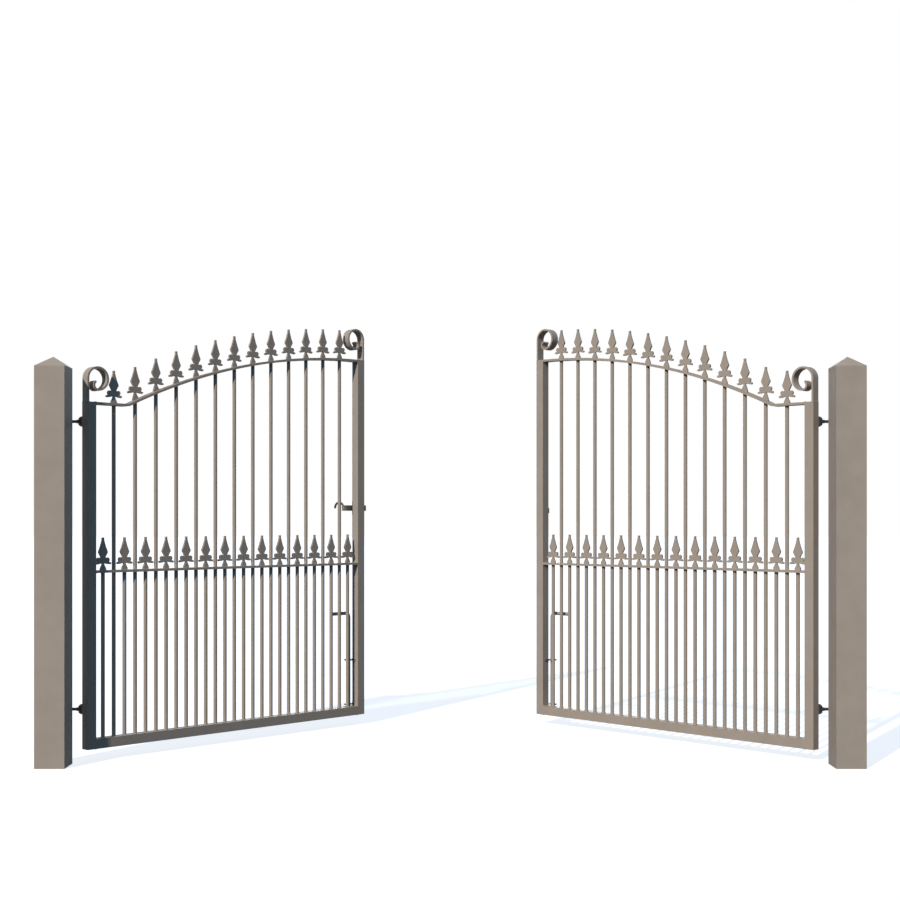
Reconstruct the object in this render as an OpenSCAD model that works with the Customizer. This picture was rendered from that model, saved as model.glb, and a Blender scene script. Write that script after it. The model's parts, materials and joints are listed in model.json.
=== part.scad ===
// Pair of swing driveway gates with their posts, in welded steel, in millimetres.
// X runs along the opening, Y away from the approach side, Z up from the ground.
// The origin is the centre of the left post's foot. The leaves stand part open.

/* [Posts] */
// Clear opening between the posts
opening = 2994; // [2794:2:3194]
// Side of the square posts
post_w = 118; // [110:1:130]
// Wall of the posts
post_wall = 5; // [3:0.5:8]
// Height of the post up to its cap
post_h = 1561; // [1520:1:1680]
// Plate that closes the post's foot
foot_t = 8; // [5:1:15]
// Rise of the pyramid cap
cap_rise = 44; // [20:1:60]
// Upright edge of the pyramid cap
cap_edge = 4; // [2:0.5:10]

/* [Leaves] */
// Angle at which both leaves stand open
leaf_open = 45; // [0:1:90]
// From a post's inner face along to the closed leaf
hinge_gap = 13; // [10:1:30]
// Gap between the two closed leaves
meeting_gap = 30; // [20:1:40]
// Gap between the posts' rear faces and the closed leaves
leaf_clear = 13.5; // [10:0.5:30]
// Gap from the ground to the bottom rail
ground_gap = 49; // [40:0.5:80]
// Side of the square box section of the stiles and the bottom rail
frame_w = 40; // [34:1:46]
// Wall of the box section
frame_wall = 3; // [2:0.5:5]
// Width of the flat bar of the mid and top rails
rail_w = 40; // [30:1:44]
// Thickness of that flat bar
rail_t = 10; // [6:0.5:14]
// Top face of the mid rail
mid_rail_top = 762.5; // [690:0.5:840]
// Top face of the top rail where it runs level, at the hinges
shoulder_top = 1437.5; // [1400:0.5:1480]
// Highest point of the bowed top rail, at the meeting stile
crown_top = 1713.5; // [1680:0.5:1780]
// Length of the top rail's level run, from the hanging stile
level_run = 142; // [100:1:300]
// Radius that eases the level run into the bow
ease_r = 40; // [30:1:80]

/* [Bars] */
// Diameter of the round bars
bar_d = 16; // [12:0.5:18]
// Spacing of neighbouring bars
bar_pitch = 50; // [46:0.5:56]
// From the hanging stile's inner face to the first bar
first_bar = 42; // [42:1:60]
// Radial clearance of a bar in its punched hole
bar_fit = 0.3; // [0.2:0.1:0.8]
// How far a bar's end stays below the rail's top face
bar_sink = 3; // [2.5:0.5:5]

/* [Finials] */
// Height of a finial above its rail
finial_h = 132; // [115:1:150]
// Width of the blade at its belly
blade_w = 43; // [34:1:56]
// Thickness of the flat blade and its collar
blade_t = 9; // [7:0.5:10]
// Height of the blade's belly
belly_z = 74; // [68:1:84]
// Width of the blade's waist
waist_w = 24; // [18:1:30]
// Height of the blade's waist
waist_z = 58; // [52:1:64]
// Diameter of the blunt tip
nub_d = 10; // [8:0.5:12]
// Length of the blunt tip
nub_h = 14; // [8:1:20]
// Span of the upper pair of lobes
lobe_span = 58; // [54:1:70]
// Height of the lobes' centres
lobe_z = 42; // [40:1:46]
// Radius of a lobe
lobe_r = 9; // [6:0.5:10]
// Depth of the dip between a lobe and the blade
lobe_dip = 4; // [2:0.5:6]
// Span of the drooping pair of leaf tips
droop_span = 71; // [66:1:80]
// Height of the drooping tips
droop_z = 31; // [28:0.5:33]
// Radius of a drooping tip
droop_r = 4; // [3:0.5:5]
// Diameter of the bell-shaped base
bell_d = 24; // [20:1:30]
// Height of the bell-shaped base
bell_h = 26; // [20:1:30]
// Diameter of the neck above the bell
neck_d = 10; // [8:0.5:14]
// Gap left for the weld under a finial on the bow
seat_fit = 0.3; // [0.2:0.1:0.6]

/* [Scrolls] */
// Height of a scroll above its stile
scroll_h = 143; // [125:1:160]
// Thickness of the scroll's flat bar
scroll_t = 8; // [5:0.5:10]
// Outer radius of the large turn
scroll_r = 49; // [40:0.5:54]
// Outer radius of the inner curl
curl_r = 22; // [18:0.5:30]
// Angle of the large turn
turn_angle = 270; // [220:5:280]
// Angle of the inner curl
curl_angle = 150; // [80:5:170]
// How far the scroll's stem stands in from the leaf's edge
scroll_inset = 1; // [0:0.5:6]

/* [Hinges] */
// Height of the lower hinges
lower_hinge_z = 207; // [180:0.5:320]
// From the leaf's shoulder down to the upper hinges
upper_hinge_drop = 78; // [60:1:200]
// From the leaf's outer face in to the hinge axis
axis_in = 6; // [2:0.5:12]
// From the leaf's rear face back to the hinge axis
axis_back = 14; // [14:0.5:18]
// Outer diameter of the hinge eye
eye_d = 23; // [20:0.5:25]
// Height of the hinge eye
eye_h = 20; // [18:1:30]
// Diameter of the hinge pin
pin_d = 12; // [10:0.5:13]
// Radial running clearance of the pin
pin_fit = 0.05; // [0.02:0.01:0.1]
// How far the pin stands out of each lug
pin_proud = 1; // [1:0.5:5]
// Thickness of a hinge lug
lug_t = 7; // [6:0.5:12]
// Bevel round the outer edge of a lug
lug_bevel = 4.5; // [2:0.5:5]
// Clearance between a lug and the eye
lug_fit = 0.3; // [0.2:0.1:0.6]
// Radius of a lug's round end
lug_r = 13; // [12:0.5:14]
// Diameter of the hinge stud
stud_d = 12; // [9:0.5:13]
// Large diameter of the stud's conical flare
flare_d = 18; // [14:0.5:18]
// Length of the conical flare
flare_l = 12; // [8:1:18]
// From the post's inner face to the hinge bracket
bracket_in = 30; // [20:1:40]
// Thickness of the hinge bracket's plate
bracket_t = 10; // [6:0.5:14]
// Radius of the bracket's round end
bracket_r = 20; // [16:0.5:26]
// How far the stud comes through the bracket
stud_end = 18; // [14:1:24]

/* [Drop bolts] */
// Diameter of the drop bolt
drop_d = 16; // [12:0.5:18]
// From the meeting stile's inner face to the bolt's axis
drop_in = 10; // [8:0.5:18]
// From the leaf's rear face back to the bolt's axis
drop_back = 14; // [13:0.5:20]
// Height of the raised bolt's tip
drop_tip_z = 55.5; // [40:0.5:90]
// Height of the bolt's bent handle
drop_handle_z = 523.5; // [460:0.5:620]
// Reach of the handle from the bolt's axis
drop_reach = 111; // [90:1:140]
// Bend radius on the bolt's axis
drop_bend = 20; // [18:1:30]
// Radial clearance of the bolt in its guides
drop_fit = 0.4; // [0.2:0.1:0.8]
// Height of the upper guide's underside
upper_guide_z = 301.5; // [260:0.5:420]
// Gap from the bottom rail's top to the lower guide
lower_guide_gap = 4; // [2:1:20]
// Thickness of the guides
guide_t = 6; // [5:0.5:10]
// Length of a guide past the bolt's axis, towards the hinges
guide_nose = 24; // [20:1:30]
// Length of a guide past the bolt's axis, over the meeting stile
guide_tail = 40; // [30:1:46]

/* [Latch] */
// Height of the latch bolt's centre line
latch_z = 1018; // [950:0.5:1150]
// Height of the flat latch bolt
latch_h = 26; // [18:0.5:30]
// Thickness of the latch bolt
latch_t = 10; // [8:0.5:12]
// Length of the latch bolt
latch_l = 142; // [130:1:160]
// How far the thrown bolt stands out of the leaf's edge
latch_throw = 51; // [46:1:60]
// Thickness of the latch's back plate
latch_plate_t = 5; // [5:0.5:8]
// Height of the latch's back plate
latch_plate_h = 64; // [52:1:80]
// Length of the latch's back plate
latch_plate_l = 34; // [30:1:38]
// Thickness of the bridge that holds the latch bolt
bridge_t = 5.5; // [4:0.5:8]
// Length of the bridge along the bolt
bridge_l = 16; // [10:0.5:20]
// Clearance of the latch bolt in its bridge
latch_fit = 0.5; // [0.3:0.1:0.8]
// Radius of the curled handle, on its centre line
hook_r = 25.5; // [18:0.5:30]
// Diameter of the handle's rod
hook_d = 10; // [7:0.5:11]
// Clearance of the thrown bolt in the keep
keep_gap = 5; // [5:0.5:8]
// Thickness of the keep's shelf and lip
keep_t = 6; // [4:0.5:10]
// Length of the keep
keep_l = 22; // [18:1:30]

/* [Hidden] */
$fn = 48;
ease_steps = 8;
bow_steps = 48;
turn_steps = 40;
curl_steps = 25;
overlap = 1;

// Shape of the finial's bell, as shares of its height and of its spread past the neck
bell_low = 0.48;
bell_high = 0.75;
bell_taper = 0.55;
bell_foot = 0.74;
// Half the straight run at the blade's widest
belly_flat = 2;
// Size of the flat left at the point of a post cap, as a share of the post's width
cap_point = 0.01;

coat = "#9b8f83";
iron = "#2b2a2b";

leaf_w = opening / 2 - hinge_gap - meeting_gap / 2;
leaf_rear = frame_w / 2;
inner_left = frame_w;
inner_right = leaf_w - frame_w;
bottom_top = ground_gap + frame_w;

// Hinge axis in the leaf's own frame, and where it stands beside the left post
axis_x = axis_in;
axis_y = leaf_rear + axis_back;
hinge_x = post_w / 2 + hinge_gap + axis_in;
hinge_y = post_w / 2 + leaf_clear + leaf_rear + axis_y;
upper_hinge_z = shoulder_top - upper_hinge_drop;
post_spacing = opening + post_w;

// Bars alternate, with a dog bar first and last, so that the long bars' finials clear the scrolls
bar_pairs = floor((inner_right - inner_left - 2 * first_bar) / (2 * bar_pitch));
bar_count = 2 * bar_pairs + 1;
dog_spots = [for (i = [0:2:bar_count - 1]) inner_left + first_bar + i * bar_pitch];
long_spots = [for (i = [1:2:bar_count - 1]) inner_left + first_bar + i * bar_pitch];

// Top rail: a level run, an easing arc and the bow, each tangent to the next
bow_x = inner_right;
ease_x = inner_left + level_run;
ease_z = shoulder_top + ease_r;
bow_run = bow_x - ease_x;
bow_rise = crown_top - ease_z;
bow_r = (pow(bow_run, 2) + pow(bow_rise, 2) - pow(ease_r, 2)) / (2 * (bow_rise + ease_r));
bow_z = crown_top - bow_r;
ease_angle = asin(bow_run / (bow_r + ease_r));
bow_start = ease_x + ease_r * sin(ease_angle);

function on_ease(x) = ease_z - sqrt(pow(ease_r, 2) - pow(x - ease_x, 2));
function on_bow(x) = bow_z + sqrt(pow(bow_r, 2) - pow(x - bow_x, 2));
function rail_top(x) = x < ease_x ? shoulder_top : x < bow_start ? on_ease(x) : on_bow(x);
function rail_slope(x) = x < bow_start ? 0 : asin((bow_x - x) / bow_r);

// The same line lowered square to itself, as points along the two arcs
function ease_point(a, drop) = [ease_x + (ease_r + drop) * sin(a), ease_z - (ease_r + drop) * cos(a)];
function bow_point(a, drop) = [bow_x - (bow_r - drop) * sin(a), bow_z + (bow_r - drop) * cos(a)];
function rail_line(drop) = concat(
    [[inner_left, shoulder_top - drop]],
    [for (i = [0:ease_steps]) ease_point(ease_angle * i / ease_steps, drop)],
    [for (i = [1:bow_steps]) bow_point(ease_angle * (1 - i / bow_steps), drop)]
);

meeting_top = rail_top(inner_right);

// Scroll: a straight stem, a large turn and a tighter curl, each tangent to the next
turn_z = scroll_h - scroll_r;
turn_end = 180 - turn_angle;
curl_x = scroll_r + (scroll_r - curl_r) * cos(turn_end);
curl_z = turn_z + (scroll_r - curl_r) * sin(turn_end);

// The same line moved inwards square to itself, as points along the two arcs
function turn_point(a, dip) = [scroll_r + (scroll_r - dip) * cos(a), turn_z + (scroll_r - dip) * sin(a)];
function curl_point(a, dip) = [curl_x + (curl_r - dip) * cos(a), curl_z + (curl_r - dip) * sin(a)];
function scroll_line(dip) = concat(
    [[dip, 0]],
    [for (i = [0:turn_steps]) turn_point(180 - turn_angle * i / turn_steps, dip)],
    [for (i = [1:curl_steps]) curl_point(turn_end - curl_angle * i / curl_steps, dip)]
);

// Drop bolt, latch and keep in the leaf's own frame
drop_x = inner_right - drop_in;
drop_y = leaf_rear + drop_back;
latch_x = leaf_w + latch_throw - latch_l;
latch_y = leaf_rear + latch_plate_t + latch_fit;
bridge_out = latch_t + 2 * latch_fit + bridge_t;
bridge_half = latch_h / 2 + latch_fit;
plate_x = inner_right + (frame_w - latch_plate_l) / 2;
keep_x = leaf_w - keep_l;
keep_back = latch_plate_t + latch_fit + latch_t + keep_gap;
keep_top = latch_z - latch_h / 2 - keep_gap;

// Puts a shape on the right-hand side, as the mirror image of the left
module right_side() {
    translate([post_spacing, 0, 0]) mirror([1, 0, 0]) children();
}

// Puts a leaf's own frame (X along the leaf, Y to its rear) on its hinge axis
module left_leaf() {
    translate([hinge_x, hinge_y, 0]) rotate([0, 0, leaf_open]) translate([-axis_x, -axis_y, 0]) children();
}

module right_leaf() {
    right_side() left_leaf() children();
}

// Extrudes an outline drawn in X and Z evenly to both sides of the leaf's middle plane
module across(width) {
    rotate([90, 0, 0]) linear_extrude(height = width, center = true) children();
}

module post() {
    difference() {
        translate([-post_w / 2, -post_w / 2, 0]) cube([post_w, post_w, post_h]);
        translate([post_wall - post_w / 2, post_wall - post_w / 2, foot_t])
            cube([post_w - 2 * post_wall, post_w - 2 * post_wall, post_h]);
    }
}

module post_cap() {
    translate([0, 0, post_h]) {
        translate([-post_w / 2, -post_w / 2, 0]) cube([post_w, post_w, cap_edge]);
        translate([0, 0, cap_edge]) linear_extrude(height = cap_rise - cap_edge, scale = cap_point)
            square(post_w, center = true);
    }
}

// Conical flare that grows out of the stud and runs on into the hinge eye
module stud_flare() {
    end = flare_l + eye_d / 2;
    rotate_extrude() polygon([[0, 0], [stud_d / 2, 0], [flare_d / 2, flare_l], [flare_d / 2, end], [0, end]]);
}

// Hinge eye on a stud, in a bracket plate that stands back from the post's rear face
module hinge_eye(z) {
    bracket_x = bracket_in + bracket_t + hinge_gap + axis_in;
    bracket_y = hinge_y - post_w / 2;
    stud_l = bracket_x + stud_end;
    translate([hinge_x, hinge_y, z]) difference() {
        union() {
            translate([0, 0, -eye_h / 2]) cylinder(d = eye_d, h = eye_h);
            translate([-stud_l, 0, 0]) rotate([0, 90, 0]) cylinder(d = stud_d, h = stud_l);
            translate([-eye_d / 2 - flare_l, 0, 0]) rotate([0, 90, 0]) stud_flare();
            translate([-bracket_x, 0, 0]) rotate([0, 90, 0]) cylinder(r = bracket_r, h = bracket_t);
            translate([-bracket_x, -bracket_y, -bracket_r]) cube([bracket_t, bracket_y, 2 * bracket_r]);
        }
        cylinder(d = pin_d + 2 * pin_fit, h = eye_h + 2 * overlap, center = true);
    }
}

// Two lugs above and below the eye, with the pin that joins them
module hinge_lugs(z) {
    lug_z = eye_h / 2 + lug_fit;
    pin_l = 2 * (lug_z + lug_t + pin_proud);
    edge = lug_t - lug_bevel;
    rim = lug_r - lug_bevel;
    translate([axis_x, axis_y, z]) {
        for (flip = [0, 1]) mirror([0, 0, flip]) translate([0, 0, lug_z]) {
            rotate_extrude() polygon([[0, 0], [lug_r, 0], [lug_r, edge], [rim, lug_t], [0, lug_t]]);
            translate([-axis_in, -axis_back, 0]) cube([axis_in + lug_r, axis_back, lug_t]);
        }
        translate([0, 0, -pin_l / 2]) cylinder(d = pin_d, h = pin_l);
    }
}

// Upright of box section, open at its foot and closed on top
module stile(x, top) {
    hollow = frame_w - 2 * frame_wall;
    hollow_h = top - ground_gap - frame_wall;
    translate([x, -frame_w / 2, ground_gap]) difference() {
        cube([frame_w, frame_w, top - ground_gap]);
        translate([frame_wall, frame_wall, -overlap]) cube([hollow, hollow, hollow_h + overlap]);
    }
}

module bottom_rail() {
    hollow = frame_w - 2 * frame_wall;
    translate([inner_left, -frame_w / 2, ground_gap]) difference() {
        cube([inner_right - inner_left, frame_w, frame_w]);
        translate([-overlap, frame_wall, frame_wall])
            cube([inner_right - inner_left + 2 * overlap, hollow, hollow]);
    }
}

module bar_hole(x, z) {
    translate([x, 0, z]) cylinder(d = bar_d + 2 * bar_fit, h = 6 * rail_t, center = true);
}

module mid_rail() {
    difference() {
        translate([inner_left, -rail_w / 2, mid_rail_top - rail_t])
            cube([inner_right - inner_left, rail_w, rail_t]);
        for (x = concat(dog_spots, long_spots)) bar_hole(x, mid_rail_top);
    }
}

// Level run, easing arc and bow in one bent flat bar, punched for the long bars
module top_rail() {
    upper = rail_line(0);
    lower = rail_line(rail_t);
    difference() {
        across(rail_w) polygon(concat(upper, [for (i = [len(lower) - 1:-1:0]) lower[i]]));
        for (x = long_spots) bar_hole(x, rail_top(x));
    }
}

module bar(x, top) {
    translate([x, 0, bottom_top]) cylinder(d = bar_d, h = top - bar_sink - bottom_top);
}

// A long bar ends under the rail's face on the low side of the slope
module long_bars() {
    for (x = long_spots) bar(x, rail_top(x - bar_d / 2));
}

// Revolved bell and neck that carry the finial, with a skirt below for a sloping rail
module finial_bell(skirt) {
    half = bell_d / 2;
    neck = neck_d / 2;
    rotate_extrude() polygon([
        [0, -skirt],
        [bell_foot * half, -skirt],
        [bell_foot * half, 0],
        [half, bell_h * bell_low],
        [neck + (half - neck) * bell_taper, bell_h * bell_high],
        [neck, bell_h],
        [neck, lobe_z],
        [0, lobe_z]
    ]);
}

// Pair of lobes over a pair of drooping leaf tips
module finial_collar() {
    tip_x = droop_span / 2 - droop_r;
    lobe_x = lobe_span / 2 - lobe_r;
    across(blade_t) {
        for (side = [-1, 1]) {
            translate([side * lobe_x, lobe_z]) circle(r = lobe_r);
            polygon([
                [0, lobe_z + lobe_r - lobe_dip],
                [side * lobe_x, lobe_z + lobe_r - lobe_dip],
                [side * lobe_x, lobe_z - lobe_r + overlap],
                [0, lobe_z - lobe_r + overlap]
            ]);
            translate([side * tip_x, droop_z]) circle(r = droop_r);
            polygon([
                [0, lobe_z],
                [side * tip_x, droop_z + droop_r],
                [side * tip_x, droop_z - droop_r],
                [0, droop_z + 2 * droop_r]
            ]);
        }
    }
}

// Flat spear blade with a blunt round tip
module finial_blade() {
    tip_z = finial_h - nub_h;
    half = [
        [waist_w / 2, lobe_z],
        [waist_w / 2, waist_z],
        [blade_w / 2, belly_z - belly_flat],
        [blade_w / 2, belly_z + belly_flat],
        [nub_d / 2, tip_z]
    ];
    mirrored = [for (i = [len(half) - 1:-1:0]) [-half[i][0], half[i][1]]];
    across(blade_t) polygon(concat(half, mirrored));
    translate([0, 0, tip_z - overlap]) cylinder(d = nub_d, h = nub_h + overlap);
}

module finial(skirt) {
    finial_bell(skirt);
    finial_collar();
    finial_blade();
}

// Finial that stands level on the mid rail
module dog_finial(x) {
    translate([x, 0, mid_rail_top]) finial(0);
}

// Finial cut to the slope of the top rail under it
module top_finial(x) {
    skirt = bell_d * tan(rail_slope(x)) / 2 + overlap;
    block = 3 * bell_d;
    difference() {
        translate([x, 0, rail_top(x)]) finial(skirt);
        translate([x, 0, rail_top(x)]) rotate([0, -rail_slope(x), 0])
            translate([-block / 2, -block / 2, seat_fit - block]) cube(block);
    }
}

// Scroll of flat bar whose stem stands at X 0 and which curls towards +X
module scroll() {
    outer = scroll_line(0);
    inner = scroll_line(scroll_t);
    across(frame_w) polygon(concat(outer, [for (i = [len(inner) - 1:-1:0]) inner[i]]));
}

module hinge_scroll() {
    translate([scroll_inset, 0, shoulder_top]) scroll();
}

module meeting_scroll() {
    translate([leaf_w - scroll_inset, 0, meeting_top]) mirror([1, 0, 0]) scroll();
}

// Flat plate with a round nose, bored for the drop bolt and welded to the stile's rear
module bolt_guide(z) {
    nose_r = drop_back;
    translate([drop_x, drop_y, z]) difference() {
        union() {
            translate([nose_r - guide_nose, 0, 0]) cylinder(r = nose_r, h = guide_t);
            translate([nose_r - guide_nose, -nose_r, 0])
                cube([guide_nose - nose_r + guide_tail, 2 * nose_r, guide_t]);
        }
        translate([0, 0, -overlap]) cylinder(d = drop_d + 2 * drop_fit, h = guide_t + 2 * overlap);
    }
}

// Round rod with its top bent over into a handle
module drop_bolt() {
    translate([drop_x, drop_y, 0]) {
        translate([0, 0, drop_tip_z]) cylinder(d = drop_d, h = drop_handle_z - drop_bend - drop_tip_z);
        translate([-drop_bend, 0, drop_handle_z - drop_bend]) rotate([90, 0, 0]) rotate_extrude(angle = 90)
            translate([drop_bend, 0]) circle(d = drop_d);
        translate([-drop_reach, 0, drop_handle_z]) rotate([0, 90, 0])
            cylinder(d = drop_d, h = drop_reach - drop_bend);
    }
}

// Bridge round the latch bolt, at the outer end of the back plate and open towards it
module latch_bridge() {
    translate([plate_x + latch_plate_l - bridge_l, leaf_rear + latch_plate_t, latch_z]) difference() {
        translate([0, 0, -bridge_half - bridge_t]) cube([bridge_l, bridge_out, 2 * (bridge_half + bridge_t)]);
        translate([-overlap, -overlap, -bridge_half])
            cube([bridge_l + 2 * overlap, bridge_out - bridge_t + overlap, 2 * bridge_half]);
    }
}

module housing() {
    translate([plate_x, leaf_rear, latch_z - latch_plate_h / 2])
        cube([latch_plate_l, latch_plate_t, latch_plate_h]);
    latch_bridge();
}

// Flat bolt with a curled rod at its inner end for a handle
module slide_bolt() {
    hook_x = latch_x + hook_d / 2 - hook_r;
    hook_y = latch_y + latch_t / 2;
    translate([latch_x, latch_y, latch_z - latch_h / 2]) cube([latch_l, latch_t, latch_h]);
    translate([hook_x, hook_y, latch_z]) rotate([90, 0, 0]) rotate_extrude(angle = 180)
        translate([hook_r, 0]) circle(d = hook_d);
}

// Shelf under the thrown bolt with a lip behind it, up to the bolt's middle
module keep() {
    translate([keep_x, leaf_rear, keep_top - keep_t]) {
        cube([keep_l, keep_back + keep_t, keep_t]);
        translate([0, keep_back, 0]) cube([keep_l, keep_t, latch_z - keep_top + keep_t]);
    }
}

module left_post() { color(coat) post(); }
module right_post() { color(coat) right_side() post(); }
module left_post_cap() { color(coat) post_cap(); }
module right_post_cap() { color(coat) right_side() post_cap(); }
module left_upper_hinge_eye() { color(iron) hinge_eye(upper_hinge_z); }
module left_lower_hinge_eye() { color(iron) hinge_eye(lower_hinge_z); }
module right_upper_hinge_eye() { color(iron) right_side() hinge_eye(upper_hinge_z); }
module right_lower_hinge_eye() { color(iron) right_side() hinge_eye(lower_hinge_z); }

module left_hanging_stile() { color(coat) left_leaf() stile(0, shoulder_top); }
module left_meeting_stile() { color(coat) left_leaf() stile(inner_right, meeting_top); }
module left_bottom_rail() { color(coat) left_leaf() bottom_rail(); }
module left_mid_rail() { color(coat) left_leaf() mid_rail(); }
module left_top_rail() { color(coat) left_leaf() top_rail(); }
module left_long_bars() { color(coat) left_leaf() long_bars(); }
module left_dog_bars() { color(coat) left_leaf() for (x = dog_spots) bar(x, mid_rail_top); }
module left_top_finials() { color(coat) left_leaf() for (x = long_spots) top_finial(x); }
module left_dog_finials() { color(coat) left_leaf() for (x = dog_spots) dog_finial(x); }
module left_hinge_scroll() { color(coat) left_leaf() hinge_scroll(); }
module left_meeting_scroll() { color(coat) left_leaf() meeting_scroll(); }
module left_upper_hinge_lugs() { color(iron) left_leaf() hinge_lugs(upper_hinge_z); }
module left_lower_hinge_lugs() { color(iron) left_leaf() hinge_lugs(lower_hinge_z); }
module left_upper_bolt_guide() { color(coat) left_leaf() bolt_guide(upper_guide_z); }
module left_lower_bolt_guide() { color(coat) left_leaf() bolt_guide(bottom_top + lower_guide_gap); }
module left_drop_bolt() { color(coat) left_leaf() drop_bolt(); }

module right_hanging_stile() { color(coat) right_leaf() stile(0, shoulder_top); }
module right_meeting_stile() { color(coat) right_leaf() stile(inner_right, meeting_top); }
module right_bottom_rail() { color(coat) right_leaf() bottom_rail(); }
module right_mid_rail() { color(coat) right_leaf() mid_rail(); }
module right_top_rail() { color(coat) right_leaf() top_rail(); }
module right_long_bars() { color(coat) right_leaf() long_bars(); }
module right_dog_bars() { color(coat) right_leaf() for (x = dog_spots) bar(x, mid_rail_top); }
module right_top_finials() { color(coat) right_leaf() for (x = long_spots) top_finial(x); }
module right_dog_finials() { color(coat) right_leaf() for (x = dog_spots) dog_finial(x); }
module right_hinge_scroll() { color(coat) right_leaf() hinge_scroll(); }
module right_meeting_scroll() { color(coat) right_leaf() meeting_scroll(); }
module right_upper_hinge_lugs() { color(iron) right_leaf() hinge_lugs(upper_hinge_z); }
module right_lower_hinge_lugs() { color(iron) right_leaf() hinge_lugs(lower_hinge_z); }
module right_upper_bolt_guide() { color(coat) right_leaf() bolt_guide(upper_guide_z); }
module right_lower_bolt_guide() { color(coat) right_leaf() bolt_guide(bottom_top + lower_guide_gap); }
module right_drop_bolt() { color(coat) right_leaf() drop_bolt(); }

module latch_housing() { color(coat) left_leaf() housing(); }
module latch_bolt() { color(coat) left_leaf() slide_bolt(); }
module latch_keep() { color(coat) right_leaf() keep(); }

left_post();
right_post();
left_post_cap();
right_post_cap();
left_upper_hinge_eye();
left_lower_hinge_eye();
right_upper_hinge_eye();
right_lower_hinge_eye();
left_hanging_stile();
left_meeting_stile();
left_bottom_rail();
left_mid_rail();
left_top_rail();
left_long_bars();
left_dog_bars();
left_top_finials();
left_dog_finials();
left_hinge_scroll();
left_meeting_scroll();
left_upper_hinge_lugs();
left_lower_hinge_lugs();
left_upper_bolt_guide();
left_lower_bolt_guide();
left_drop_bolt();
right_hanging_stile();
right_meeting_stile();
right_bottom_rail();
right_mid_rail();
right_top_rail();
right_long_bars();
right_dog_bars();
right_top_finials();
right_dog_finials();
right_hinge_scroll();
right_meeting_scroll();
right_upper_hinge_lugs();
right_lower_hinge_lugs();
right_upper_bolt_guide();
right_lower_bolt_guide();
right_drop_bolt();
latch_housing();
latch_bolt();
latch_keep();
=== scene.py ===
# %% [markdown]
# # A pair of welded driveway gates
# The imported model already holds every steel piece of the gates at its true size. This lesson dresses it:
# it gives the steel its powder coat and the ironwork its black paint, lays the welds that hold the pieces
# together, cuts the spearheads, adds the small fittings, and then sets the light and the camera.
# Everything is in metres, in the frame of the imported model: X runs along the row of posts, Y to the rear
# and Z up from the foot of the left post.

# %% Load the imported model
import json
import math

import bmesh
import bpy
import numpy as np
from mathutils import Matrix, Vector


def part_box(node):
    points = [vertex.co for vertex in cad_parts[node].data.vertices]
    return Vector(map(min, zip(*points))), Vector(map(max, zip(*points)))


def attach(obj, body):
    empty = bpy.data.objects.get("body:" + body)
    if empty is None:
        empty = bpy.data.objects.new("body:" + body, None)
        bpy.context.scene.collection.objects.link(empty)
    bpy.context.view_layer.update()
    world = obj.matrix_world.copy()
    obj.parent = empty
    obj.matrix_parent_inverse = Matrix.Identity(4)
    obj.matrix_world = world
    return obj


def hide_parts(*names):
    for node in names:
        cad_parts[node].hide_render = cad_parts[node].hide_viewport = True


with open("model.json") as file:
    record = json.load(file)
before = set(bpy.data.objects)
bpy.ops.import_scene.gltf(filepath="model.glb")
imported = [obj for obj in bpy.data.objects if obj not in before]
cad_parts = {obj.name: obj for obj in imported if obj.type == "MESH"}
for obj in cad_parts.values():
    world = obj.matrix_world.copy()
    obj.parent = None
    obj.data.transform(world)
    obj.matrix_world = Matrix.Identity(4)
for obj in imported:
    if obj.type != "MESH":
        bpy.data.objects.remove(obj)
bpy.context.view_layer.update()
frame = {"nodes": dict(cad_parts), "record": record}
MM = 0.001

# %% [markdown]
# A few small helpers serve every material. Paint makers quote colours as sRGB hex values, but a shader
# works in linear light, so one function turns the one into the other. Another adds a node to a tree,
# sets its properties and links its inputs in a single call, which keeps a node tree readable as text.
# The scale of a noise counts waves in a metre, so the last one turns a wave's size into that count.


# %% Colour and node helpers
MID_GREY = "#808080"


def linear(hex_colour):
    parts = [int(hex_colour[i:i + 2], 16) / 255 for i in (1, 3, 5)]
    return [p / 12.92 if p <= 0.04045 else ((p + 0.055) / 1.055) ** 2.4 for p in parts] + [1.0]


def add_node(tree, kind, inputs=None, **settings):
    node = tree.nodes.new(kind)
    for key, value in settings.items():
        setattr(node, key, value)
    for key, value in (inputs or {}).items():
        if isinstance(value, bpy.types.NodeSocket):
            tree.links.new(value, node.inputs[key])
        else:
            node.inputs[key].default_value = value
    return node


def new_material(name):
    material = bpy.data.materials.new(name)
    material.use_nodes = True
    material.node_tree.nodes.clear()
    return material, material.node_tree


def per_mm(size_mm):
    return 1 / (size_mm * MM)


print("mid grey in linear light:", round(linear(MID_GREY)[0], 3))

# %% [markdown]
# The gates are welded from mild steel and powder coated. The powder is sprayed on dry and melted in an
# oven, so it flows into a satin skin with a fine orange peel, a little thinner and glossier on the
# edges. A flat colour would look like plastic, so the coat has three things: a slow drift of tone over a
# hand's width, an orange-peel bump a few millimetres across, drawn coarser than life so that it shows,
# and edges that are rubbed a little paler, found by comparing the true normal with a rounded one.


# %% Powder-coated mild steel
COAT_COLOUR = "#A69584"
COAT_PALE = "#B0A192"
COAT_DEEP = "#968574"
COAT_ROUGHNESS = (0.52, 0.66)
COAT_SHINE = 0.05
PAINT_IOR = 1.5
TONE_DRIFT_MM = 90
DRIFT_DETAIL = 3
DRIFT_ROUGHNESS = 0.55
ORANGE_PEEL_MM = 5
PEEL_DETAIL = 1
PEEL_DEPTH_MM = 0.3
PEEL_STRENGTH = 0.12
EDGE_RUB_MM = 1.5
EDGE_SAMPLES = 4
EDGE_RUB_SHARE = 0.6
EDGE_STARTS = 0.97
EDGE_FULL = 0.80


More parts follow.
